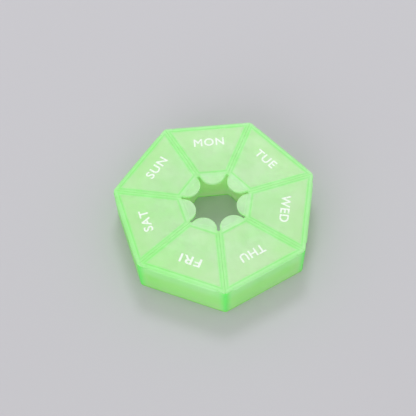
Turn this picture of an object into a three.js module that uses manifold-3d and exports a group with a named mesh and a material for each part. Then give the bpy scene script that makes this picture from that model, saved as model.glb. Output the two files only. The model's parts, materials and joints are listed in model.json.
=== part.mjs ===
// Seven day pill box: a ring of seven covered pockets round an open seven sided hole.
// The tray stands on z = 0. The first day's flat side faces +Y and the days run clockwise seen from above.
// All lengths are in millimetres, all angles in radians.
import * as THREE from 'three';
import { mergeVertices } from 'three/addons/utils/BufferGeometryUtils.js';
import Module from 'manifold-3d';

const wasm = await Module();
wasm.setup();

// Days, clockwise from +Y
const days = ['mon', 'tue', 'wed', 'thu', 'fri', 'sat', 'sun'];
const dayAngle = (2 * Math.PI) / days.length;
const halfDay = dayAngle / 2;

// Tray: the outside
const trayHeight = 17.3;
const trayApothem = 41.2;
const outerDraft = 0.35;
const cornerRadius = 2.0;
const baseRadius = 0.8;
const rimRadius = 0.4;

// Tray: the hole through its middle, which widens towards the table
const holeApothem = 13.7;
const holeDraft = 0.9;
const holeCornerRadius = 1.1;
const holeBaseRadius = 0.7;

// Tray: walls and pockets
const outerWall = 1.05;
const innerWall = 1.1;
const partition = 1.0;
const floorThickness = 1.2;
const pocketDraft = 0.25;
const pocketCornerRadius = 1.5;
const pocketFloorRadius = 2.2;

// Lids
const lidThickness = 1.2;
const lidLift = 0.3;
const lidGap = 0.3;
const lidInset = 0.2;
const lidEdgeRadius = 0.2;
const lidTipRadius = 0.3;

// Thumb tabs
const tabRadius = 6.0;
const tabSetback = 1.6;

// Plug rib under each lid, the bead on it that clicks into the inner wall, and the groove for the bead
const ribDepth = 1.4;
const ribThickness = 0.7;
const ribClearance = 0.35;
const ribLeadIn = 0.25;
const beadLength = 7.0;
const beadRadius = 0.35;
const beadReach = 0.18;
const grooveDepth = 0.2;
const grooveClearance = 0.1;
const grooveEndClearance = 0.5;

// Living hinges, rolled round the lids' outer edges
const hingeThickness = 0.3;
const hingeBendRadius = 0.8;
const hingeEndMargin = 3.8;
const hingeOverhang = 0.3;
const hingeSink = 0.1;
const hingeRootLength = 0.25;
const hingeGap = 0.3;

// Overrun of every cut past the face it opens
const overrun = 1.0;

// Corners of a surface nearer to each other than this are one corner
const weldDistance = 1e-4;

// Least corner radius of a pocket where its floor fillet eats into the corner, as a share of the full radius
const leastCornerShare = 0.25;

// Smoothness: segments of each round corner, and of each fillet or edge
const cornerSegments = 3;
const filletSegments = 4;
const edgeSegments = 2;
const tabSegments = 16;

// Heights and places that follow from the sizes above
const lidBottom = trayHeight + lidLift;
const lidTop = lidBottom + lidThickness;
const lidOuterEdge = trayApothem - lidInset;
const pocketDepth = trayHeight - floorThickness;
const tabCentre = holeApothem + tabSetback;
const hingeOuterRadius = hingeBendRadius + hingeThickness / 2;
const hingeInnerRadius = hingeBendRadius - hingeThickness / 2;
const hingeReach = trayApothem + hingeOverhang;
const hingeBendCentre = hingeReach - hingeOuterRadius;
const hingeRoot = hingeBendCentre - hingeRootLength;
const hingeLength = 2 * (halfWidthAt(trayApothem, 0) - hingeEndMargin);
const hingeMiddle = lidTop - hingeSink - hingeOuterRadius;
const hingeSeatHeight = hingeMiddle - hingeOuterRadius - hingeGap;
const beadHeight = lidBottom - ribDepth / 2;
const cornerReach = trayApothem / Math.cos(halfDay) - cornerRadius / Math.cos(halfDay) + cornerRadius;

// The moulded green plastic. It looks deepest in the tray, where light passes through most of it.
const trayColour = 0x8cdc78;
const lidColour = 0xc0eeb0;
const hingeColour = 0xa8f5a0;
const plasticRoughness = 0.38;

// Half the width of one day's share of the ring, at a distance from the middle, less a margin on each side
function halfWidthAt(apothem, margin) {
  return apothem * Math.tan(halfDay) - margin / Math.cos(halfDay);
}

// Corners of a regular polygon with one flat side facing +Y, counterclockwise
function polygonCorners(apothem) {
  const radius = apothem / Math.cos(halfDay);
  return days.map((day, i) => {
    const angle = Math.PI / 2 + halfDay + i * dayAngle;
    return new THREE.Vector2(radius * Math.cos(angle), radius * Math.sin(angle));
  });
}

// Corners of the first day's trapezoid, counterclockwise
function trapezoidCorners(innerApothem, outerApothem, margin) {
  const inner = halfWidthAt(innerApothem, margin);
  const outer = halfWidthAt(outerApothem, margin);
  return [
    new THREE.Vector2(-inner, innerApothem),
    new THREE.Vector2(inner, innerApothem),
    new THREE.Vector2(outer, outerApothem),
    new THREE.Vector2(-outer, outerApothem),
  ];
}

// Adds one round corner of a convex counterclockwise outline to a path
function addRoundCorner(path, before, corner, after, radius) {
  const arriving = corner.clone().sub(before).normalize();
  const leaving = after.clone().sub(corner).normalize();
  const inward = leaving.clone().sub(arriving).normalize();
  const halfAngle = Math.acos(-arriving.dot(leaving)) / 2;
  const centre = corner.clone().addScaledVector(inward, radius / Math.sin(halfAngle));
  const start = Math.atan2(-arriving.x, arriving.y);
  const end = Math.atan2(-leaving.x, leaving.y);
  path.absarc(centre.x, centre.y, radius, start, end, false);
}

// A convex outline with all its corners rounded, as a closed ring of points
function roundOutline(corners, radius) {
  const path = new THREE.Path();
  corners.forEach((corner, i) => {
    const before = corners.at(i - 1);
    const after = corners[(i + 1) % corners.length];
    addRoundCorner(path, before, corner, after, radius);
  });
  return path.getPoints(cornerSegments);
}

// A closed skin through rings of points, each at its own height, lowest first
function loft(rings) {
  const count = rings[0].points.length;
  const positions = rings.flatMap(({ z, points }) => points.flatMap((point) => [point.x, point.y, z]));
  const faces = [];
  for (let level = 0; level < rings.length - 1; level += 1) {
    for (let i = 0; i < count; i += 1) {
      const next = (i + 1) % count;
      const low = level * count;
      const high = low + count;
      faces.push(low + i, low + next, high + next);
      faces.push(low + i, high + next, high + i);
    }
  }
  const top = (rings.length - 1) * count;
  const closing = THREE.ShapeUtils.triangulateShape(rings[0].points, []);
  closing.forEach(([a, b, c]) => faces.push(a, c, b));
  closing.forEach(([a, b, c]) => faces.push(top + a, top + b, top + c));
  const geometry = new THREE.BufferGeometry();
  geometry.setAttribute('position', new THREE.Float32BufferAttribute(positions, 3));
  geometry.setIndex(faces);
  return geometry;
}

// A closed geometry as a solid that can be joined and cut
function solid(geometry) {
  const bare = geometry.clone();
  bare.deleteAttribute('normal');
  bare.deleteAttribute('uv');
  const merged = mergeVertices(bare, weldDistance);
  const vertProperties = Float32Array.from(merged.attributes.position.array);
  const triVerts = Uint32Array.from(merged.index.array);
  return new wasm.Manifold(new wasm.Mesh({ numProp: 3, vertProperties, triVerts }));
}

function trayPlastic() {
  return new THREE.MeshStandardMaterial({ color: trayColour, roughness: plasticRoughness, metalness: 0 });
}

function lidPlastic() {
  return new THREE.MeshStandardMaterial({ color: lidColour, roughness: plasticRoughness, metalness: 0 });
}

function hingePlastic() {
  return new THREE.MeshStandardMaterial({ color: hingeColour, roughness: plasticRoughness, metalness: 0 });
}

// A solid as a named mesh
function meshOf(name, body, material) {
  const { vertProperties, triVerts } = body.getMesh();
  const geometry = new THREE.BufferGeometry();
  geometry.setAttribute('position', new THREE.Float32BufferAttribute(vertProperties, 3));
  geometry.setIndex(Array.from(triVerts));
  geometry.computeVertexNormals();
  const mesh = new THREE.Mesh(geometry, material);
  mesh.name = name;
  return mesh;
}

// A copy of a geometry turned from the first day's place to another day's
function atDay(geometry, index) {
  return geometry.clone().rotateZ(-index * dayAngle);
}

// Quarter round: pairs of (inset, height) from the flat face up to the side wall
function quarterRound(radius) {
  return Array.from({ length: filletSegments + 1 }, (unused, i) => {
    const angle = (i / filletSegments) * (Math.PI / 2);
    return { inset: radius * (1 - Math.sin(angle)), rise: radius * (1 - Math.cos(angle)) };
  });
}

// Ring of the tray's outside at a height, drawn in by the draft below the rim and by a further inset
function outsideRing(z, inset) {
  const drawnIn = outerDraft * (1 - z / trayHeight) + inset;
  return { z, points: roundOutline(polygonCorners(trayApothem - drawnIn), cornerRadius - inset) };
}

function trayOutside() {
  const base = quarterRound(baseRadius).map(({ inset, rise }) => outsideRing(rise, inset));
  const rim = quarterRound(rimRadius).map(({ inset, rise }) => outsideRing(trayHeight - rise, inset));
  return solid(loft([...base, ...rim.reverse()]));
}

// Ring of the middle hole, widened by the draft towards the table and by a further outset
function holeRing(z, outset) {
  const widened = holeDraft * (1 - z / trayHeight) + outset;
  return { z, points: roundOutline(polygonCorners(holeApothem + widened), holeCornerRadius + outset) };
}

function trayHole() {
  const base = quarterRound(holeBaseRadius);
  const mouth = base.map(({ inset, rise }) => holeRing(rise, inset));
  const below = holeRing(-overrun, holeBaseRadius + overrun);
  return solid(loft([below, ...mouth, holeRing(trayHeight + overrun, 0)]));
}

// Ring of the first day's pocket at a height, drawn in by its draft and by a further inset.
// Its inner side leans with the hole, so that the wall between them keeps its thickness.
function pocketRing(z, inset) {
  const depthShare = (trayHeight - z) / pocketDepth;
  const lean = holeDraft * (1 - z / trayHeight);
  const inner = holeApothem + innerWall + lean + inset;
  const outer = trayApothem - outerWall - (outerDraft + pocketDraft) * depthShare - inset;
  const margin = partition / 2 + pocketDraft * depthShare + inset;
  const radius = Math.max(pocketCornerRadius - inset, pocketCornerRadius * leastCornerShare);
  return { z, points: roundOutline(trapezoidCorners(inner, outer, margin), radius) };
}

function pocketGeometry() {
  const fillet = quarterRound(pocketFloorRadius);
  const floor = fillet.map(({ inset, rise }) => pocketRing(floorThickness + rise, inset));
  return loft([...floor, pocketRing(trayHeight + overrun, 0)]);
}

// Lowered stretch of the outer wall's top, where the living hinge grows out of it
function hingeSeatGeometry() {
  const length = hingeLength + 2 * hingeGap;
  const width = outerWall + 2 * overrun;
  const height = trayHeight - hingeSeatHeight + overrun;
  const seat = new THREE.BoxGeometry(length, width, height);
  return seat.translate(0, trayApothem - outerWall / 2, hingeSeatHeight + height / 2);
}

// Round bar across the first day's inner wall, for the bead and for its groove
function barGeometry(radius, length, apothem, z) {
  const sides = 4 * filletSegments;
  const bar = new THREE.CylinderGeometry(radius, radius, length, sides);
  return bar.rotateZ(Math.PI / 2).translate(0, apothem, z);
}

function grooveGeometry() {
  const radius = beadRadius + grooveClearance;
  const length = beadLength + 2 * grooveEndClearance;
  const lean = holeDraft * (1 - beadHeight / trayHeight);
  const wallFace = holeApothem + innerWall + lean;
  return barGeometry(radius, length, wallFace - grooveDepth + radius, beadHeight);
}

function tray() {
  const cuts = [pocketGeometry(), hingeSeatGeometry(), grooveGeometry()];
  const everyDay = days.flatMap((day, index) => cuts.map((cut) => solid(atDay(cut, index))));
  return everyDay.reduce((body, cut) => body.subtract(cut), trayOutside().subtract(trayHole()));
}

// Points along an arc
function arcPoints(centre, radius, start, end, segments) {
  return new THREE.EllipseCurve(centre.x, centre.y, radius, radius, start, end).getPoints(segments);
}

// The thumb tab and the lid's inner side, which reach over the hole, from left to right
function lidInnerSide() {
  const inner = halfWidthAt(holeApothem, lidGap / 2);
  const centre = new THREE.Vector2(0, tabCentre);
  const tabAngle = Math.asin(tabSetback / tabRadius);
  return [
    new THREE.Vector2(-inner, holeApothem),
    ...arcPoints(centre, tabRadius, Math.PI + tabAngle, 2 * Math.PI - tabAngle, tabSegments),
    new THREE.Vector2(inner, holeApothem),
  ];
}

// Right half of the lid's outer side: a small round tip beside the gap, the tray's round corner,
// and the straight edge with its step in for the hinge
function lidOuterHalf() {
  const radius = cornerRadius - lidInset;
  const within = radius - lidTipRadius;
  const reach = (trayApothem - cornerRadius) / Math.cos(halfDay);
  const centre = new THREE.Vector2(reach * Math.sin(halfDay), reach * Math.cos(halfDay));
  const touch = Math.PI / 2 - halfDay + Math.asin((lidGap / 2 + lidTipRadius) / within);
  const tip = new THREE.Vector2(Math.cos(touch), Math.sin(touch)).multiplyScalar(within).add(centre);
  const recessEnd = hingeLength / 2 + hingeGap;
  return [
    ...arcPoints(tip, lidTipRadius, -halfDay, touch, cornerSegments),
    ...arcPoints(centre, radius, touch, Math.PI / 2, edgeSegments).slice(1),
    new THREE.Vector2(recessEnd, lidOuterEdge),
    new THREE.Vector2(recessEnd, hingeRoot - hingeGap),
  ];
}

function lidShape() {
  const right = lidOuterHalf();
  const left = right.map(({ x, y }) => new THREE.Vector2(-x, y)).reverse();
  return new THREE.Shape([...lidInnerSide(), ...right, ...left]);
}

function lidPlate() {
  const plate = new THREE.ExtrudeGeometry(lidShape(), {
    depth: lidThickness - 2 * lidEdgeRadius,
    bevelThickness: lidEdgeRadius,
    bevelSize: lidEdgeRadius,
    bevelOffset: -lidEdgeRadius,
    bevelSegments: edgeSegments,
  });
  return plate.translate(0, 0, lidBottom + lidEdgeRadius);
}

// Ring of the plug rib: the pocket's mouth drawn in by the running clearance and a further inset
function ribRing(z, inset) {
  const { points } = pocketRing(trayHeight, ribClearance + inset);
  return { z, points };
}

function plugRib() {
  const foot = lidBottom - ribDepth;
  const head = lidBottom + lidThickness / 2;
  const outside = [ribRing(foot, ribLeadIn), ribRing(foot + ribLeadIn, 0), ribRing(head, 0)];
  const inside = [ribRing(foot - overrun, ribThickness), ribRing(lidBottom, ribThickness)];
  return solid(loft(outside)).subtract(solid(loft(inside)));
}

function snapBead() {
  const ribFace = holeApothem + innerWall + ribClearance;
  return barGeometry(beadRadius, beadLength, ribFace - beadReach + beadRadius, beadHeight);
}

function lid() {
  return solid(lidPlate()).add(plugRib()).add(solid(snapBead()));
}

// Section of the closed living hinge: a half turn of thin web between two short roots.
// x runs outward from the middle of the box and y runs up.
function hingeShape() {
  const quarter = Math.PI / 2;
  const shape = new THREE.Shape();
  shape.moveTo(hingeRoot, hingeMiddle - hingeOuterRadius);
  shape.absarc(hingeBendCentre, hingeMiddle, hingeOuterRadius, -quarter, quarter, false);
  shape.lineTo(hingeRoot, hingeMiddle + hingeOuterRadius);
  shape.lineTo(hingeRoot, hingeMiddle + hingeInnerRadius);
  shape.absarc(hingeBendCentre, hingeMiddle, hingeInnerRadius, quarter, -quarter, true);
  shape.lineTo(hingeRoot, hingeMiddle - hingeInnerRadius);
  shape.closePath();
  return shape;
}

function hinge() {
  const web = new THREE.ExtrudeGeometry(hingeShape(), {
    depth: hingeLength,
    curveSegments: filletSegments,
    bevelEnabled: false,
  });
  web.translate(0, 0, -hingeLength / 2);
  const outward = new THREE.Vector3(0, 1, 0);
  const up = new THREE.Vector3(0, 0, 1);
  const along = new THREE.Vector3(1, 0, 0);
  web.applyMatrix4(new THREE.Matrix4().makeBasis(outward, up, along));
  return solid(web);
}

// The whole box, moved so that the middle of its footprint is the origin
const pillBox = new THREE.Group();
pillBox.position.y = (cornerReach - hingeReach) / 2;
pillBox.add(meshOf('tray', tray(), trayPlastic()));

const lidBody = lid();
const hingeBody = hinge();
days.forEach((day, index) => {
  const side = new THREE.Group();
  side.rotation.z = -index * dayAngle;
  side.add(meshOf(`lid_${day}`, lidBody, lidPlastic()));
  side.add(meshOf(`hinge_${day}`, hingeBody, hingePlastic()));
  pillBox.add(side);
});

export default pillBox;
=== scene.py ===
# Seven day pill box: the moulded tray and lids, the rolled hinges, the printed day words and the studio.
# Lengths are in metres. The ring's middle is the axis of the hole, and the first day's side faces +Y.
import json
import math

import bmesh
import bpy
from mathutils import Matrix, Vector


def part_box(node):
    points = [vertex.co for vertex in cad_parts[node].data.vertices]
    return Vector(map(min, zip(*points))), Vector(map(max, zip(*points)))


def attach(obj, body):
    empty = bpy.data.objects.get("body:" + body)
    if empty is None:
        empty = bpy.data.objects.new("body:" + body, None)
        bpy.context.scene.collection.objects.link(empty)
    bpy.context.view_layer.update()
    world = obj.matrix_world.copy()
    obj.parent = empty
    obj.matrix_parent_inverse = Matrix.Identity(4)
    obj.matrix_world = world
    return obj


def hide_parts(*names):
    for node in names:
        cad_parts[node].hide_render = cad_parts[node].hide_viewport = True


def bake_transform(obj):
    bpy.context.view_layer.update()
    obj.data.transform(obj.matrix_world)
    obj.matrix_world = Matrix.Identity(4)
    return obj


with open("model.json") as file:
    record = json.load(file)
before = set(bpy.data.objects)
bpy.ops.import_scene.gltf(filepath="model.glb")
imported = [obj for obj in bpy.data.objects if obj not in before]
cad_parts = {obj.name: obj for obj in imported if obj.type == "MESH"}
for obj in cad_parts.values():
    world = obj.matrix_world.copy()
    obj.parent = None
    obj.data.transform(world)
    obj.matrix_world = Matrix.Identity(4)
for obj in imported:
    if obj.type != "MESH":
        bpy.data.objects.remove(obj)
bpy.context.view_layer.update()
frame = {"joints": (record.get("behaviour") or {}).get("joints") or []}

MM = 0.001

# Days, clockwise from +Y
DAYS = ["mon", "tue", "wed", "thu", "fri", "sat", "sun"]
DAY_ANGLE = 2 * math.pi / len(DAYS)
HALF_DAY = DAY_ANGLE / 2

# Places and heights read from the frame
JOINTS = {joint["child"]: joint for joint in frame["joints"]}
MIDDLE = sum((Vector(joint["pos_m"]) for joint in JOINTS.values()), Vector()) / len(JOINTS)
MIDDLE.z = 0
TRAY_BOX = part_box("tray")
LID_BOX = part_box("lid_mon")
HINGE_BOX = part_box("hinge_mon")
TRAY_HEIGHT = TRAY_BOX[1].z
LID_TOP = LID_BOX[1].z
LID_OUTER_EDGE = LID_BOX[1].y - MIDDLE.y
TAB_TIP = LID_BOX[0].y - MIDDLE.y
HINGE_REACH = HINGE_BOX[1].y - MIDDLE.y
HINGE_TOP = HINGE_BOX[1].z
HINGE_LENGTH = HINGE_BOX[1].x - HINGE_BOX[0].x

# Tray
TRAY_APOTHEM = 41.2 * MM
OUTER_DRAFT = 0.35 * MM
CORNER_RADIUS = 2.0 * MM
BASE_RADIUS = 0.8 * MM
RIM_RADIUS = 0.4 * MM
HOLE_APOTHEM = 13.7 * MM
HOLE_DRAFT = 0.9 * MM
HOLE_CORNER_RADIUS = 1.1 * MM
HOLE_BASE_RADIUS = 0.7 * MM
HOLE_RIM_RADIUS = 0.3 * MM
OUTER_WALL = 1.05 * MM
INNER_WALL = 1.1 * MM
PARTITION = 1.0 * MM
FLOOR_THICKNESS = 1.2 * MM
POCKET_DRAFT = 0.25 * MM
POCKET_CORNER_RADIUS = 1.5 * MM
POCKET_FLOOR_RADIUS = 2.2 * MM
POCKET_LIP_RADIUS = 0.2 * MM
LEAST_CORNER_SHARE = 0.25

# Lids
LID_THICKNESS = 1.2 * MM
LID_GAP = 0.05 * MM
LID_TIP_RADIUS = 0.3 * MM
LID_EDGE_RADIUS = 0.1 * MM
TAB_RADIUS = 6.0 * MM
RIB_DEPTH = 1.4 * MM
RIB_THICKNESS = 0.7 * MM
RIB_CLEARANCE = 0.35 * MM
RIB_LEAD_IN = 0.25 * MM
RIB_ROOT = 0.5 * MM
BEAD_LENGTH = 7.0 * MM
BEAD_RADIUS = 0.35 * MM
BEAD_REACH = 0.18 * MM
GROOVE_DEPTH = 0.2 * MM
GROOVE_CLEARANCE = 0.1 * MM
GROOVE_END_CLEARANCE = 0.5 * MM

# Living hinges
HINGE_THICKNESS = 0.3 * MM
HINGE_BEND_RADIUS = 0.8 * MM
HINGE_GAP = 0.3 * MM
HINGE_SIDE_GAP = 0.08 * MM
HINGE_ROOT_LENGTH = 0.25 * MM
HINGE_OVERLAP = 0.45 * MM
HINGE_TAPER = 1.8 * MM
HINGE_STEPS = 40
HINGE_TURN_STEPS = 24

# Printed day words: their size, and how far across and out each lies, and its width, which vary a little
WORD_HEIGHT = 4.1 * MM
WORD_STROKE = 0.075 * MM
WORD_SPACING = 1.12
INK_THICKNESS = 0.015 * MM
INK_RECESS = 0.02 * MM
WORDS = {
    "mon": (-0.23 * MM, 31.91 * MM, 13.7 * MM), "tue": (-0.70 * MM, 31.69 * MM, 11.3 * MM),
    "wed": (-0.02 * MM, 30.51 * MM, 13.7 * MM), "thu": (0.01 * MM, 30.59 * MM, 11.7 * MM),
    "fri": (-0.41 * MM, 31.47 * MM, 9.6 * MM), "sat": (0.02 * MM, 31.83 * MM, 10.9 * MM),
    "sun": (0.40 * MM, 31.90 * MM, 12.3 * MM),
}

# How far a cutter reaches past what it cuts, and how close corners are joined
OVERRUN = 1.0 * MM
JOIN_DISTANCE = 1e-7

# Heights and places that follow
LID_BOTTOM = LID_TOP - LID_THICKNESS
TAB_CENTRE = TAB_TIP + TAB_RADIUS
POCKET_DEPTH = TRAY_HEIGHT - FLOOR_THICKNESS
HINGE_OUTER_RADIUS = HINGE_BEND_RADIUS + HINGE_THICKNESS / 2
HINGE_BEND_CENTRE = HINGE_REACH - HINGE_OUTER_RADIUS
HINGE_MIDDLE = HINGE_TOP - HINGE_OUTER_RADIUS
HINGE_RECESS = HINGE_BEND_CENTRE - HINGE_ROOT_LENGTH - HINGE_GAP
BEAD_HEIGHT = LID_BOTTOM - RIB_DEPTH / 2

# Segments of each round, and the angle from which an edge is shaded sharp
CORNER_SEGMENTS = 10
FILLET_SEGMENTS = 8
EDGE_SEGMENTS = 5
TAB_SEGMENTS = 48
SHARP_ANGLE = math.radians(32)


def day_matrix(index):
    """Moves what is built at the first day round the ring's middle to another day's place."""
    return Matrix.Translation(MIDDLE) @ Matrix.Rotation(-index * DAY_ANGLE, 4, "Z")


def half_width_at(apothem, margin):
    return apothem * math.tan(HALF_DAY) - margin / math.cos(HALF_DAY)


def polygon_corners(apothem):
    """Corners of a regular polygon with one flat side facing +Y, counterclockwise."""
    radius = apothem / math.cos(HALF_DAY)
    angles = [math.pi / 2 + HALF_DAY + i * DAY_ANGLE for i in range(len(DAYS))]
    return [Vector((radius * math.cos(a), radius * math.sin(a))) for a in angles]


def trapezoid_corners(inner_apothem, outer_apothem, margin):
    """Corners of the first day's share of the ring, counterclockwise."""
    inner = half_width_at(inner_apothem, margin)
    outer = half_width_at(outer_apothem, margin)
    return [
        Vector((-inner, inner_apothem)), Vector((inner, inner_apothem)),
        Vector((outer, outer_apothem)), Vector((-outer, outer_apothem)),
    ]


def arc(centre, radius, start, end, segments):
    angles = [start + (end - start) * i / segments for i in range(segments + 1)]
    return [centre + radius * Vector((math.cos(a), math.sin(a))) for a in angles]


def corner_arc(before, corner, after, radius):
    """One round corner of a convex counterclockwise outline."""
    arriving = (corner - before).normalized()
    leaving = (after - corner).normalized()
    half_angle = math.acos(-arriving.dot(leaving)) / 2
    centre = corner + (leaving - arriving).normalized() * radius / math.sin(half_angle)
    start = math.atan2(-arriving.x, arriving.y)
    turn = -arriving.angle_signed(leaving, 0)
    return arc(centre, radius, start, start + turn, CORNER_SEGMENTS)


def round_outline(corners, radius):
    count = len(corners)
    points = []
    for i, corner in enumerate(corners):
        points += corner_arc(corners[i - 1], corner, corners[(i + 1) % count], radius)
    return points


def quarter_round(radius, segments=FILLET_SEGMENTS):
    """Pairs of (inset, rise) from a flat face up to the side wall."""
    angles = [i / segments * math.pi / 2 for i in range(segments + 1)]
    return [(radius * (1 - math.sin(a)), radius * (1 - math.cos(a))) for a in angles]


def finish_shading(mesh):
    mesh.shade_smooth()
    mesh.set_sharp_from_angle(angle=SHARP_ANGLE)


def clean_mesh(shape, mesh):
    """Writes a bmesh into a mesh, with its corners joined and its faces pointing out."""
    bmesh.ops.remove_doubles(shape, verts=shape.verts, dist=JOIN_DISTANCE)
    bmesh.ops.recalc_face_normals(shape, faces=shape.faces)
    shape.to_mesh(mesh)
    shape.free()
    finish_shading(mesh)
    return mesh


def mesh_from(name, build):
    """A mesh made by a function that fills a bmesh."""
    shape = bmesh.new()
    build(shape)
    return clean_mesh(shape, bpy.data.meshes.new(name))


def bridge(shape, low, high):
    count = len(low)
    for i in range(count):
        following = (i + 1) % count
        shape.faces.new((low[i], low[following], high[following], high[i]))


def loft(shape, rings, closed=False):
    """A skin through rings of points, lowest first, with its ends filled, or joined if closed."""
    loops = [[shape.verts.new((p.x, p.y, z)) for p in points] for z, points in rings]
    for low, high in zip(loops, loops[1:]):
        bridge(shape, low, high)
    if closed:
        bridge(shape, loops[-1], loops[0])
    else:
        shape.faces.new(reversed(loops[0]))
        shape.faces.new(loops[-1])


def new_object(name, data):
    piece = bpy.data.objects.new(name, data)
    bpy.context.scene.collection.objects.link(piece)
    return piece


def mesh_of(piece):
    """What an object with its modifiers shows, as a mesh."""
    graph = bpy.context.evaluated_depsgraph_get()
    return bpy.data.meshes.new_from_object(piece.evaluated_get(graph))


def boolean(piece, cutters, operation):
    """Joins or cuts a piece with others, which are then deleted."""
    for cutter in cutters:
        step = piece.modifiers.new("boolean", "BOOLEAN")
        step.operation = operation
        step.solver = "EXACT"
        step.object = cutter
    mesh = mesh_of(piece)
    piece.modifiers.clear()
    piece.data = mesh
    finish_shading(mesh)
    for cutter in cutters:
        bpy.data.objects.remove(cutter)


# Tray


def outside_ring(z, inset):
    drawn_in = OUTER_DRAFT * (1 - z / TRAY_HEIGHT) + inset
    return z, round_outline(polygon_corners(TRAY_APOTHEM - drawn_in), CORNER_RADIUS - inset)


def tray_outside(shape):
    rim_round = quarter_round(RIM_RADIUS, EDGE_SEGMENTS)
    base = [outside_ring(rise, inset) for inset, rise in quarter_round(BASE_RADIUS)]
    rim = [outside_ring(TRAY_HEIGHT - rise, inset) for inset, rise in rim_round]
    loft(shape, base + rim[::-1])


def hole_ring(z, outset):
    widened = HOLE_DRAFT * (1 - z / TRAY_HEIGHT) + outset
    return z, round_outline(polygon_corners(HOLE_APOTHEM + widened), HOLE_CORNER_RADIUS + outset)


def tray_hole(shape):
    rim_round = quarter_round(HOLE_RIM_RADIUS, EDGE_SEGMENTS)
    base = [hole_ring(rise, inset) for inset, rise in quarter_round(HOLE_BASE_RADIUS)]
    rim = [hole_ring(TRAY_HEIGHT - rise, inset) for inset, rise in rim_round]
    below = (-OVERRUN, base[0][1])
    above = (TRAY_HEIGHT + OVERRUN, rim[0][1])
    loft(shape, [below] + base + rim[::-1] + [above])


def pocket_ring(z, inset):
    depth_share = (TRAY_HEIGHT - z) / POCKET_DEPTH
    lean = HOLE_DRAFT * (1 - z / TRAY_HEIGHT)
    inner = HOLE_APOTHEM + INNER_WALL + lean + inset
    outer = TRAY_APOTHEM - OUTER_WALL - (OUTER_DRAFT + POCKET_DRAFT) * depth_share - inset
    margin = PARTITION / 2 + POCKET_DRAFT * depth_share + inset
    radius = max(POCKET_CORNER_RADIUS - inset, POCKET_CORNER_RADIUS * LEAST_CORNER_SHARE)
    return z, round_outline(trapezoid_corners(inner, outer, margin), radius)


def pocket(shape):
    floor_round = quarter_round(POCKET_FLOOR_RADIUS)
    lip_round = quarter_round(POCKET_LIP_RADIUS, EDGE_SEGMENTS)
    floor = [pocket_ring(FLOOR_THICKNESS + rise, inset) for inset, rise in floor_round]
    lip = [pocket_ring(TRAY_HEIGHT - rise, -inset) for inset, rise in lip_round]
    above = (TRAY_HEIGHT + OVERRUN, lip[0][1])
    loft(shape, floor + lip[::-1] + [above])


def bar(shape, radius, length, apothem, z):
    """Round bar across the first day's inner wall."""
    place = Matrix.Translation((0, apothem, z)) @ Matrix.Rotation(math.pi / 2, 4, "Y")
    sides = 4 * FILLET_SEGMENTS
    bmesh.ops.create_cone(
        shape, cap_ends=True, segments=sides, radius1=radius, radius2=radius, depth=length, matrix=place
    )


def groove(shape):
    radius = BEAD_RADIUS + GROOVE_CLEARANCE
    lean = HOLE_DRAFT * (1 - BEAD_HEIGHT / TRAY_HEIGHT)
    wall_face = HOLE_APOTHEM + INNER_WALL + lean
    bar(shape, radius, BEAD_LENGTH + 2 * GROOVE_END_CLEARANCE, wall_face - GROOVE_DEPTH + radius, BEAD_HEIGHT)


def cutters_at_each_day(build):
    mesh = mesh_from("cutter", build)
    cutters = []
    for index in range(len(DAYS)):
        cutter = new_object("cutter", mesh)
        cutter.matrix_world = day_matrix(index)
        cutters.append(cutter)
    return cutters


def make_tray():
    tray = new_object("tray_shell", mesh_from("tray_shell", tray_outside))
    tray.data.transform(Matrix.Translation(MIDDLE))
    hole = new_object("cutter", mesh_from("cutter", tray_hole))
    hole.matrix_world = Matrix.Translation(MIDDLE)
    boolean(tray, [hole] + cutters_at_each_day(pocket) + cutters_at_each_day(groove), "DIFFERENCE")
    return tray


# Lids


def lid_inner_side():
    """The thumb tab and the lid's inner side, which reach over the hole, from left to right."""
    inner = half_width_at(HOLE_APOTHEM, LID_GAP / 2)
    tab_angle = math.asin((TAB_CENTRE - HOLE_APOTHEM) / TAB_RADIUS)
    tab = arc(Vector((0, TAB_CENTRE)), TAB_RADIUS, math.pi + tab_angle, 2 * math.pi - tab_angle, TAB_SEGMENTS)
    return [Vector((-inner, HOLE_APOTHEM))] + tab + [Vector((inner, HOLE_APOTHEM))]


def lid_outer_half():
    """Right half of the outer side: a small tip, the tray's round corner and the step for the hinge."""
    radius = CORNER_RADIUS - (TRAY_APOTHEM - LID_OUTER_EDGE)
    within = radius - LID_TIP_RADIUS
    reach = (TRAY_APOTHEM - CORNER_RADIUS) / math.cos(HALF_DAY)
    centre = reach * Vector((math.sin(HALF_DAY), math.cos(HALF_DAY)))
    touch = math.pi / 2 - HALF_DAY + math.asin((LID_GAP / 2 + LID_TIP_RADIUS) / within)
    tip = centre + within * Vector((math.cos(touch), math.sin(touch)))
    recess_end = HINGE_LENGTH / 2 + HINGE_SIDE_GAP
    points = arc(tip, LID_TIP_RADIUS, -HALF_DAY, touch, CORNER_SEGMENTS)
    points += arc(centre, radius, touch, math.pi / 2, EDGE_SEGMENTS)[1:]
    return points + [Vector((recess_end, LID_OUTER_EDGE)), Vector((recess_end, HINGE_RECESS))]


def lid_outline():
    right = lid_outer_half()
    left = [Vector((-p.x, p.y)) for p in reversed(right)]
    return lid_inner_side() + right + left


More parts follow.
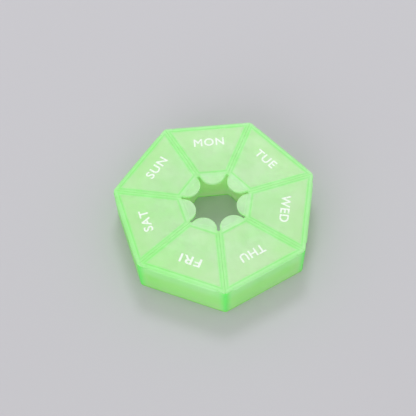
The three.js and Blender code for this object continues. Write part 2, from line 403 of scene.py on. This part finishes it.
def make_plate_mesh():
    """The plate with its rounded edge, as a filled curve."""
    thickness = LID_THICKNESS - INK_RECESS
    curve = bpy.data.curves.new("plate", "CURVE")
    curve.dimensions = "2D"
    curve.fill_mode = "BOTH"
    curve.extrude = thickness / 2 - LID_EDGE_RADIUS
    curve.bevel_depth = LID_EDGE_RADIUS
    curve.bevel_resolution = EDGE_SEGMENTS
    curve.offset = -LID_EDGE_RADIUS
    points = lid_outline()
    spline = curve.splines.new("POLY")
    spline.points.add(len(points) - 1)
    for target, point in zip(spline.points, points):
        target.co = (point.x, point.y, 0, 1)
    spline.use_cyclic_u = True
    holder = new_object("plate", curve)
    mesh = mesh_of(holder)
    bpy.data.objects.remove(holder)
    mesh.transform(Matrix.Translation((0, 0, LID_BOTTOM + thickness / 2)))
    shape = bmesh.new()
    shape.from_mesh(mesh)
    return clean_mesh(shape, mesh)


def rib_ring(z, inset):
    return z, pocket_ring(TRAY_HEIGHT, RIB_CLEARANCE + inset)[1]


def plug_rib(shape):
    """The rib under the lid that plugs into the pocket's mouth, rooted a little way into the plate."""
    foot = LID_BOTTOM - RIB_DEPTH
    head = LID_BOTTOM + RIB_ROOT
    tip = quarter_round(RIB_LEAD_IN, EDGE_SEGMENTS)
    outside = [rib_ring(foot + rise, inset) for inset, rise in tip] + [rib_ring(head, 0)]
    inside = [rib_ring(head, RIB_THICKNESS)]
    inside += [rib_ring(foot + rise, RIB_THICKNESS - inset) for inset, rise in tip[::-1]]
    loft(shape, outside + inside, closed=True)


def snap_bead(shape):
    rib_face = HOLE_APOTHEM + INNER_WALL + RIB_CLEARANCE
    bar(shape, BEAD_RADIUS, BEAD_LENGTH, rib_face - BEAD_REACH + BEAD_RADIUS, BEAD_HEIGHT)


def make_rib_mesh():
    rib = new_object("rib", mesh_from("rib", plug_rib))
    boolean(rib, [new_object("bead", mesh_from("bead", snap_bead))], "UNION")
    mesh = rib.data
    bpy.data.objects.remove(rib)
    return mesh


# Hinges


def hinge_line():
    """Middle line of the closed web's section, from its root in the wall round to its root in the lid."""
    centre = Vector((HINGE_BEND_CENTRE, HINGE_MIDDLE))
    turn = arc(centre, HINGE_BEND_RADIUS, -math.pi / 2, math.pi / 2, HINGE_TURN_STEPS)
    wall_root = turn[0] - Vector((HINGE_ROOT_LENGTH, 0))
    lid_root = turn[-1] - Vector((HINGE_ROOT_LENGTH + HINGE_OVERLAP, 0))
    return [wall_root] + turn + [lid_root]


def web_section():
    """Outline of the closed web's section: up one face and back down the other."""
    line = hinge_line()
    faces = []
    for side in (1, -1):
        face = []
        for i, point in enumerate(line):
            along = (line[min(i + 1, len(line) - 1)] - line[max(i - 1, 0)]).normalized()
            face.append(point + side * HINGE_THICKNESS / 2 * Vector((along.y, -along.x)))
        faces.append(face)
    return faces[0] + faces[1][::-1]


def hinge_web(shape):
    """The web along its side, in closer steps towards its ends, where its bend tapers in."""
    outline = web_section()
    half_length = HINGE_LENGTH / 2
    loops = []
    for i in range(HINGE_STEPS + 1):
        x = math.sin((i / HINGE_STEPS - 0.5) * math.pi) * half_length
        bulge = math.sin(math.pi / 2 * min(1, (half_length - abs(x)) / HINGE_TAPER))
        outs = [min(p.x, LID_OUTER_EDGE + (p.x - LID_OUTER_EDGE) * bulge) for p in outline]
        loops.append([shape.verts.new((x, out, p.y)) for out, p in zip(outs, outline)])
    for low, high in zip(loops, loops[1:]):
        bridge(shape, low, high)
    shape.faces.new(loops[0])
    shape.faces.new(reversed(loops[-1]))


# Words


def make_word_mesh(day):
    """A day's word, tops outward, printed on the first day's lid."""
    across, out, width = WORDS[day]
    text = bpy.data.curves.new("word", "FONT")
    text.body = day.upper()
    text.size = WORD_HEIGHT
    text.space_character = WORD_SPACING
    text.bevel_depth = WORD_STROKE
    holder = new_object("word", text)
    mesh = mesh_of(holder)
    bpy.data.objects.remove(holder)
    low = Vector([min(v.co[i] for v in mesh.vertices) for i in range(3)])
    high = Vector([max(v.co[i] for v in mesh.vertices) for i in range(3)])
    size = high - low
    mesh.transform(Matrix.Translation(-(low + high) / 2))
    mesh.transform(Matrix.Diagonal((width / size.x, WORD_HEIGHT / size.y, INK_THICKNESS / size.z, 1)))
    mesh.transform(Matrix.Translation((across, out, LID_TOP - INK_THICKNESS / 2)))
    return mesh


# Materials

# The moulded surface: fine grain, slow waves, uneven gloss, and sunk lines over the ribs
GRAIN_SCALE = 2600
GRAIN_DEPTH = 0.004 * MM
WAVE_SCALE = 110
WAVE_DEPTH = 0.05 * MM
GLOSS_SCALE = 400
GLOSS_SPREAD = (0.3, 0.7)
ROUGHNESS = (0.3, 0.42)
SINK_DEPTH = 0.02 * MM
IOR = 1.49

# How dense the colour is: a little cloudy, and deeper towards the left, which leaves the right side paler: a
# painted sheen
CLOUD_SCALE = 85
CLOUD_SHIFT = (0.0, 0.0, 0.2)
CLOUD_SPREAD = (0.35, 0.65)
CLOUD = 0.6
PAINTED_SHEEN_REACH = 40 * MM
PAINTED_SHEEN_CONTRAST = 0.6
DENSE_SHARE = (0.84, 1.0, 0.78)
FINE_DETAIL = 3.0
COARSE_DETAIL = 1.0


def srgb(r, g, b):
    """A colour given as 0 to 255 sRGB, in the linear values that shaders take."""
    def linear(c):
        c /= 255
        return c / 12.92 if c <= 0.04045 else ((c + 0.055) / 1.055) ** 2.4
    return linear(r), linear(g), linear(b), 1


# Colours, opacities and the shares of light let through, zone by zone
PANEL_COLOUR = srgb(227, 255, 215)
PANEL_OUTER_COLOUR = srgb(231, 255, 215)
BAND_COLOUR = srgb(196, 255, 182)
LINE_COLOUR = srgb(180, 252, 167)
# The pale band round the outer top edge, on lid, wall top and hinge, is a painted highlight.
EDGE_HIGHLIGHT_COLOUR = srgb(200, 255, 190)
TAB_COLOUR = srgb(213, 255, 206)
TRAY_COLOUR = srgb(197, 255, 171)
# The deep green of the tray's upright corners is partly a painted glow; the foot's colour is a painted glow.
CORNER_COLOUR = srgb(106, 255, 108)
FOOT_GLOW_COLOUR = srgb(174, 255, 129)
# The hole's wall is painted paler than the other walls: painted light where little light reaches down the
# hole.
INNER_WALL_PAINTED_LIGHT_COLOUR = srgb(236, 255, 204)
HINGE_COLOUR = srgb(212, 255, 210)
RIB_COLOUR = srgb(160, 250, 142)
LID_TINT = (0.98, 1.0, 0.96, 1)
TRAY_TINT = (0.99, 1.0, 0.98, 1)
NO_TINT = (1, 1, 1, 1)
LID_OPACITY = 0.8
BAND_OPACITY = 0.92
TAB_OPACITY = 0.73
TRAY_OPACITY = 0.90
WALL_OPACITY = 0.88
INNER_OPACITY = 0.8
EDGE_OPACITY = 0.9
RIB_OPACITY = 0.25
HINGE_OPACITY = 0.9
LID_THROUGH = 0.38
TAB_THROUGH = 0.27
TRAY_THROUGH = 0.6
WALL_THROUGH = 0.42
INNER_THROUGH = 0.55
EDGE_THROUGH = 0.15
RIM_THROUGH = 0.35
FOOT_THROUGH = 0.75

# Where each zone of a lid fades in: distances from the rib, the walls, the partition and the middle
PANEL_FADE = (0.2 * MM, 1.2 * MM)
LINE_FADE = (0.5 * MM, 0.1 * MM)
OVER_WALL_FADE = (0.0, -0.6 * MM)
OVER_TAB_FADE = (0.0, -0.9 * MM)
TAB_SIDE_FADE = (0.6 * MM, 2.0 * MM)
OVER_HOLE_FADE = (HOLE_APOTHEM, HOLE_APOTHEM - 1.2 * MM)
FAR_OUT_FADE = (22 * MM, 38 * MM)

# Where each zone of the tray fades in: distances from the middle and the partition, and heights
OUTER_WALL_FADE = (TRAY_APOTHEM - 2.6 * MM, TRAY_APOTHEM - 1.6 * MM)
INNER_WALL_FADE = (HOLE_APOTHEM + 2.2 * MM, HOLE_APOTHEM + 1.2 * MM)
CORNER_FADE = (3.4 * MM, -0.4 * MM)
CORNER_WITHIN = 0.2
FOOT_FADE = (1.8 * MM, 0.5 * MM)
# The paler colour of the outer wall's top zone is a painted highlight.
TOP_FADE = (10 * MM, 15.5 * MM)

# The pale fold of a hinge, its height over the middle of the bend, and its stress lines
FOLD_RISE = 0.35 * MM
FOLD_FADE = (0.6 * MM, 0.1 * MM)
STREAK_SCALE = 900
STREAK_STRETCH = (0.15, 0.15, 4.0)
STREAK_SPREAD = (0.3, 0.7)

INK_COLOUR = srgb(246, 255, 246)
INK_ROUGHNESS = 0.55
INK_SCALE = 1500
INK_SPREAD = (0.25, 0.5)
INK_COVER = (0.66, 0.9)

FLOOR_COLOURS = (srgb(193, 192, 197), srgb(197, 196, 201))
FLOOR_CLOUD_SCALE = 3.0
FLOOR_ROUGHNESS = 0.9
FLOOR_SPECULAR = 0.1


class Nodes:
    """Builds the node tree of one material."""

    def __init__(self, name):
        self.material = bpy.data.materials.new(name)
        self.material.use_nodes = True
        self.tree = self.material.node_tree
        self.tree.nodes.clear()

    def add(self, kind, inputs, **settings):
        node = self.tree.nodes.new(kind)
        for name, value in settings.items():
            setattr(node, name, value)
        for key, value in inputs.items():
            if isinstance(value, bpy.types.NodeSocket):
                self.tree.links.new(value, node.inputs[key])
            else:
                node.inputs[key].default_value = value
        return node

    def shader(self, kind, inputs):
        return self.add(kind, inputs).outputs[0]

    def math(self, operation, *values):
        return self.add("ShaderNodeMath", dict(enumerate(values)), operation=operation).outputs[0]

    def vector(self, operation, *values):
        node = self.add("ShaderNodeVectorMath", dict(enumerate(values)), operation=operation)
        return node.outputs["Value" if operation == "LENGTH" else "Vector"]

    def mix(self, share, first, second):
        """Goes from the first colour to the second."""
        return self.add("ShaderNodeMix", {0: share, 6: first, 7: second}, data_type="RGBA").outputs[2]

    def blend(self, share, first, second):
        """Goes from the first number to the second."""
        return self.add("ShaderNodeMix", {0: share, 2: first, 3: second}, data_type="FLOAT").outputs[0]

    def smooth(self, value, start, end, low=0.0, high=1.0):
        """Goes smoothly from low to high as the value goes from start to end."""
        inputs = {"Value": value, "From Min": start, "From Max": end, "To Min": low, "To Max": high}
        return self.add("ShaderNodeMapRange", inputs, interpolation_type="SMOOTHSTEP").outputs[0]

    def noise(self, scale, detail=2.0, stretch=None, shift=None):
        place = self.object_place()
        if stretch:
            place = self.vector("MULTIPLY", place, stretch)
        if shift:
            place = self.vector("ADD", place, shift)
        inputs = {"Vector": place, "Scale": scale, "Detail": detail}
        return self.add("ShaderNodeTexNoise", inputs).outputs["Fac"]

    def bump(self, height, distance, normal=None):
        inputs = {"Height": height, "Distance": distance, "Strength": 1.0}
        if normal is not None:
            inputs["Normal"] = normal
        return self.add("ShaderNodeBump", inputs).outputs[0]

    def object_place(self):
        return self.add("ShaderNodeTexCoord", {}).outputs["Object"]

    def day_place(self):
        """Distances across, out and up from the middle, as if every day lay at the first day's place."""
        place = self.vector("SUBTRACT", self.object_place(), MIDDLE)
        split = self.add("ShaderNodeSeparateXYZ", {0: place})
        angle = self.math("ARCTAN2", split.outputs[0], split.outputs[1])
        turns = self.math("ROUND", self.math("DIVIDE", angle, DAY_ANGLE))
        turned = self.math("SUBTRACT", angle, self.math("MULTIPLY", turns, DAY_ANGLE))
        radius = self.vector("LENGTH", self.vector("MULTIPLY", place, (1, 1, 0)))
        across = self.math("ABSOLUTE", self.math("MULTIPLY", radius, self.math("SINE", turned)))
        out = self.math("MULTIPLY", radius, self.math("COSINE", turned))
        return across, out, split.outputs[2]

    def from_partition(self, across, out):
        """Distance from the middle plane of the nearest partition."""
        first = self.math("MULTIPLY", out, math.sin(HALF_DAY))
        return self.math("SUBTRACT", first, self.math("MULTIPLY", across, math.cos(HALF_DAY)))

    def finish(self, surface):
        self.add("ShaderNodeOutputMaterial", {"Surface": surface})
        return self.material


def cloudy_with_painted_sheen(nodes, colour):
    """The colour made deeper by clouds, and deeper towards the left, which leaves the right side paler as a
    painted sheen.
    """
    cloud = nodes.noise(CLOUD_SCALE, FINE_DETAIL, shift=CLOUD_SHIFT)
    cloud = nodes.smooth(cloud, *CLOUD_SPREAD, 0.0, CLOUD)
    x = nodes.add("ShaderNodeSeparateXYZ", {0: nodes.object_place()}).outputs[0]
    # Clouds of deeper colour, plus deeper colour towards the left: the paler right side is a painted sheen.
    cloud_and_painted_sheen = nodes.math("ADD", cloud, nodes.smooth(x, -PAINTED_SHEEN_REACH, 0.0, PAINTED_SHEEN_CONTRAST, 0.0))
    return nodes.mix(cloud_and_painted_sheen, colour, nodes.vector("MULTIPLY", colour, DENSE_SHARE))


def plastic(nodes, colour, opacity, tint, through, dents=None):
    """Coloured polypropylene: partly see-through, milky inside, with a satin, slightly wavy moulded surface.

    A face met from behind is fully clear, so a wall, which has two faces, counts once.
    """
    shade = cloudy_with_painted_sheen(nodes, colour)
    relief = nodes.bump(nodes.noise(WAVE_SCALE, COARSE_DETAIL), WAVE_DEPTH)
    if dents is not None:
        relief = nodes.bump(dents, MM, relief)
    relief = nodes.bump(nodes.noise(GRAIN_SCALE), GRAIN_DEPTH, relief)
    roughness = nodes.smooth(nodes.noise(GLOSS_SCALE, FINE_DETAIL), *GLOSS_SPREAD, *ROUGHNESS)
    surface = {"Base Color": shade, "Normal": relief, "IOR": IOR, "Roughness": roughness}
    satin = nodes.shader("ShaderNodeBsdfPrincipled", surface)
    milk = nodes.shader("ShaderNodeBsdfTranslucent", {"Color": shade, "Normal": relief})
    body = nodes.shader("ShaderNodeMixShader", {0: through, 1: satin, 2: milk})
    inside = nodes.add("ShaderNodeNewGeometry", {}).outputs["Backfacing"]
    clear = nodes.shader("ShaderNodeBsdfTransparent", {"Color": nodes.mix(inside, tint, NO_TINT)})
    cover = nodes.math("MULTIPLY", opacity, nodes.math("SUBTRACT", 1.0, inside))
    return nodes.shader("ShaderNodeMixShader", {0: cover, 1: clear, 2: body})


def lid_plastic():
    """Pale over the pocket and the tab; more saturated over the rib and the walls, deeper green where they
    lie under the plate and partly a painted glow of the light they guide; paler over the outer wall, a
    painted highlight.
    """
    nodes = Nodes("lid_plastic")
    across, out, _ = nodes.day_place()
    partition = nodes.from_partition(across, out)
    middle_of_rib = RIB_CLEARANCE + RIB_THICKNESS / 2
    sides = nodes.math("SUBTRACT", partition, PARTITION / 2 + middle_of_rib)
    outer = nodes.math("SUBTRACT", TRAY_APOTHEM - OUTER_WALL - middle_of_rib, out)
    inner = nodes.math("SUBTRACT", out, HOLE_APOTHEM + INNER_WALL + middle_of_rib)
    inside = nodes.math("MINIMUM", nodes.math("MINIMUM", sides, outer), inner)
    panel = nodes.smooth(inside, *PANEL_FADE)
    line = nodes.smooth(nodes.math("ABSOLUTE", inside), *LINE_FADE)
    over_wall = nodes.smooth(outer, *OVER_WALL_FADE)
    beside_tab = nodes.smooth(partition, *TAB_SIDE_FADE)
    over_tab = nodes.math("MULTIPLY", nodes.smooth(inner, *OVER_TAB_FADE), beside_tab)
    over_hole = nodes.math("MULTIPLY", over_tab, nodes.smooth(out, *OVER_HOLE_FADE))
    pale = nodes.mix(nodes.smooth(out, *FAR_OUT_FADE), PANEL_COLOUR, PANEL_OUTER_COLOUR)
    # Paler over the outer wall: a painted highlight along the rounded edge.
    edges = nodes.mix(over_wall, BAND_COLOUR, EDGE_HIGHLIGHT_COLOUR)
    tab_or_edge = nodes.mix(over_tab, edges, TAB_COLOUR)
    # The line over the rib and the bands over the walls: deeper green, partly a painted glow.
    colour = nodes.mix(line, nodes.mix(panel, tab_or_edge, pale), LINE_COLOUR)
    opacity = nodes.smooth(panel, 0.0, 1.0, BAND_OPACITY, LID_OPACITY)
    clearer = nodes.math("MULTIPLY", over_hole, BAND_OPACITY - TAB_OPACITY)
    opacity = nodes.math("SUBTRACT", opacity, clearer)
    dents = nodes.math("MULTIPLY", line, -SINK_DEPTH / MM)
    through = nodes.smooth(over_hole, 0.0, 1.0, LID_THROUGH, TAB_THROUGH)
    return nodes.finish(plastic(nodes, colour, opacity, LID_TINT, through, dents))


def tray_plastic():
    """Most saturated along the upright corners, deeper green where the plastic is thicker and partly a
    painted glow; paler round the top, a painted highlight; bright round the foot, a painted glow where light
    gathers.
    """
    nodes = Nodes("tray_plastic")
    across, out, up = nodes.day_place()
    partition = nodes.from_partition(across, out)
    outer_wall = nodes.smooth(out, *OUTER_WALL_FADE)
    inner_wall = nodes.smooth(out, *INNER_WALL_FADE)
    wall = nodes.math("MAXIMUM", outer_wall, inner_wall)
    corner_strength = nodes.smooth(outer_wall, 0.0, 1.0, CORNER_WITHIN, 1.0)
    corner = nodes.math("MULTIPLY", nodes.smooth(partition, *CORNER_FADE), corner_strength)
    foot = nodes.math("MULTIPLY", nodes.smooth(up, *FOOT_FADE), wall)
    top = nodes.math("MULTIPLY", nodes.smooth(up, *TOP_FADE), outer_wall)

    def zones(plain, outside, hole, rim, side, base):
        """A value of the pockets, taken over by those of the outer wall, hole wall, top, corners and foot."""
        value = nodes.smooth(outer_wall, 0.0, 1.0, plain, outside)
        for share, other in ((inner_wall, hole), (top, rim), (corner, side), (foot, base)):
            value = nodes.blend(share, value, other)
        return value

    # The hole's wall painted paler: painted light.
    colour = nodes.mix(inner_wall, TRAY_COLOUR, INNER_WALL_PAINTED_LIGHT_COLOUR)
    # Paler towards the top of the outer wall: a painted highlight.
    colour = nodes.mix(top, colour, EDGE_HIGHLIGHT_COLOUR)
    # Corners: deeper green, partly a painted glow. Foot: a painted glow where light gathers.
    colour = nodes.mix(foot, nodes.mix(corner, colour, CORNER_COLOUR), FOOT_GLOW_COLOUR)
    opacity = zones(TRAY_OPACITY, WALL_OPACITY, INNER_OPACITY, EDGE_OPACITY, EDGE_OPACITY, EDGE_OPACITY)
    through = zones(TRAY_THROUGH, WALL_THROUGH, INNER_THROUGH, RIM_THROUGH, EDGE_THROUGH, FOOT_THROUGH)
    return nodes.finish(plastic(nodes, colour, opacity, TRAY_TINT, through))


def rib_plastic():
    """As the lids, but thin to the eye: a rib shows through its lid only as a faint deeper green."""
    nodes = Nodes("rib_plastic")
    colour = nodes.mix(nodes.noise(CLOUD_SCALE), RIB_COLOUR, CORNER_COLOUR)
    return nodes.finish(plastic(nodes, colour, RIB_OPACITY, LID_TINT, LID_THROUGH))


def hinge_plastic():
    """As the top of the wall, whose pale band is a painted highlight, and palest along the fold, with fine
    stress lines.
    """
    nodes = Nodes("hinge_plastic")
    _, _, up = nodes.day_place()
    height = nodes.math("SUBTRACT", up, HINGE_MIDDLE)
    from_fold = nodes.math("ABSOLUTE", nodes.math("SUBTRACT", height, FOLD_RISE))
    streaks = nodes.noise(STREAK_SCALE, stretch=STREAK_STRETCH)
    fold = nodes.smooth(from_fold, *FOLD_FADE)
    share = nodes.math("MULTIPLY", fold, nodes.smooth(streaks, *STREAK_SPREAD))
    colour = nodes.mix(share, EDGE_HIGHLIGHT_COLOUR, HINGE_COLOUR)
    return nodes.finish(plastic(nodes, colour, HINGE_OPACITY, LID_TINT, LID_THROUGH))


def ink():
    """White ink, a little thin in places."""
    nodes = Nodes("ink")
    body = nodes.shader("ShaderNodeBsdfPrincipled", {"Base Color": INK_COLOUR, "Roughness": INK_ROUGHNESS})
    clear = nodes.shader("ShaderNodeBsdfTransparent", {})
    cover = nodes.smooth(nodes.noise(INK_SCALE, FINE_DETAIL), *INK_SPREAD, *INK_COVER)
    return nodes.finish(nodes.shader("ShaderNodeMixShader", {0: cover, 1: clear, 2: body}))


def floor_paper():
    nodes = Nodes("studio_floor")
    colour = nodes.mix(nodes.noise(FLOOR_CLOUD_SCALE), *FLOOR_COLOURS)
    surface = {"Base Color": colour, "Roughness": FLOOR_ROUGHNESS, "Specular IOR Level": FLOOR_SPECULAR}
    return nodes.finish(nodes.shader("ShaderNodeBsdfPrincipled", surface))


# Studio. The camera's place, focal length and shift are those of a pinhole camera fitted to the photo.

FLOOR_SIZE = 6.0
CAMERA_FOCAL_PIXELS = 1045.8
FRAME_PIXELS = 416
SENSOR = 36.0
CAMERA_DISTANCE = 473.8 * MM
CAMERA_ELEVATION = math.radians(58.82)
CAMERA_AZIMUTH = math.radians(3.84)
CAMERA_ROLL = math.radians(-1.53)
CAMERA_RIGHT_PIXELS = 8.24
CAMERA_DOWN_PIXELS = 15.37
NEAR_CLIP = 0.01
FAR_CLIP = 50
KEY_PLACE = (0.05, 0.63, 0.98)
KEY_SIZE = 0.35
KEY_POWER = 3.1
KEY_COLOUR = (0.94, 0.97, 1)
FILL_PLACE = (-1.2, -2.76, 1.08)
FILL_SIZE = 2.88
FILL_POWER = 40.3
FILL_COLOUR = (0.98, 0.99, 1)
TENT_LEVEL = 0.72
TENT_TOP_LEVEL = 0.8
TENT_COLOUR = (1.0, 0.99, 0.975, 1)


def make_floor():
    mesh = bpy.data.meshes.new("studio_floor")
    corners = [(-FLOOR_SIZE, -FLOOR_SIZE, 0), (FLOOR_SIZE, -FLOOR_SIZE, 0)]
    corners += [(FLOOR_SIZE, FLOOR_SIZE, 0), (-FLOOR_SIZE, FLOOR_SIZE, 0)]
    mesh.from_pydata(corners, [], [(0, 1, 2, 3)])
    mesh.materials.append(floor_paper())
    new_object("studio_floor", mesh)


def make_camera():
    data = bpy.data.cameras.new("camera")
    data.sensor_width = SENSOR
    data.lens = CAMERA_FOCAL_PIXELS / FRAME_PIXELS * SENSOR
    data.shift_x = -CAMERA_RIGHT_PIXELS / FRAME_PIXELS
    data.shift_y = CAMERA_DOWN_PIXELS / FRAME_PIXELS
    data.clip_start = NEAR_CLIP
    data.clip_end = FAR_CLIP
    camera = new_object("camera", data)
    flat = math.cos(CAMERA_ELEVATION)
    across = -math.sin(CAMERA_AZIMUTH) * flat
    back = Vector((across, -math.cos(CAMERA_AZIMUTH) * flat, math.sin(CAMERA_ELEVATION)))
    turn = (-back).to_track_quat("-Z", "Y").to_matrix().to_4x4()
    place = Matrix.Translation(MIDDLE + back * CAMERA_DISTANCE)
    camera.matrix_world = place @ turn @ Matrix.Rotation(CAMERA_ROLL, 4, "Z")
    bpy.context.scene.camera = camera


def area_light(name, place, size, power, colour):
    """A round lamp that faces the object."""
    data = bpy.data.lights.new(name, "AREA")
    data.shape = "DISK"
    data.size = size
    data.energy = power
    data.color = colour
    light = new_object(name, data)
    light.location = place
    light.rotation_euler = (-Vector(place)).to_track_quat("-Z", "Y").to_euler()


def make_world():
    """A soft, nearly even tent of light, a little brighter overhead."""
    world = bpy.data.worlds.new("studio")
    bpy.context.scene.world = world
    world.use_nodes = True
    tree = world.node_tree
    direction = tree.nodes.new("ShaderNodeSeparateXYZ")
    tree.links.new(tree.nodes.new("ShaderNodeTexCoord").outputs["Generated"], direction.inputs[0])
    overhead = tree.nodes.new("ShaderNodeMapRange")
    overhead.interpolation_type = "SMOOTHSTEP"
    tree.links.new(direction.outputs[2], overhead.inputs["Value"])
    overhead.inputs["To Min"].default_value = TENT_LEVEL
    overhead.inputs["To Max"].default_value = TENT_TOP_LEVEL
    background = tree.nodes["Background"]
    background.inputs["Color"].default_value = TENT_COLOUR
    tree.links.new(overhead.outputs[0], background.inputs["Strength"])


def make_lights():
    area_light("key", KEY_PLACE, KEY_SIZE, KEY_POWER, KEY_COLOUR)
    area_light("fill", FILL_PLACE, FILL_SIZE, FILL_POWER, FILL_COLOUR)
    make_world()
    bpy.context.scene.view_settings.view_transform = "Standard"


# The pieces


def place_piece(name, mesh, place, material):
    piece = new_object(name, mesh.copy())
    piece.data.transform(place)
    piece.data.materials.append(material)
    return piece


make_camera()
make_lights()
make_floor()

tray = make_tray()
tray.data.materials.append(tray_plastic())
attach(tray, "tray")
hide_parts("tray")

plate_mesh = make_plate_mesh()
rib_mesh = make_rib_mesh()
web_mesh = mesh_from("hinge", hinge_web)
plate_material = lid_plastic()
rib_material = rib_plastic()
web_material = hinge_plastic()
ink_material = ink()
for index, day in enumerate(DAYS):
    place = day_matrix(index)
    lid_body = "lid_" + day
    plate = place_piece("lid_plate_" + day, plate_mesh, place, plate_material)
    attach(plate, lid_body)
    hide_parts(lid_body)
    rib = place_piece("lid_rib_" + day, rib_mesh, place, rib_material)
    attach(rib, lid_body)
    web = place_piece("hinge_web_" + day, web_mesh, place, web_material)
    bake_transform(web)
    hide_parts("hinge_" + day)
    word = new_object("word_" + day, make_word_mesh(day))
    word.data.transform(place)
    word.data.materials.append(ink_material)
    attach(word, lid_body)
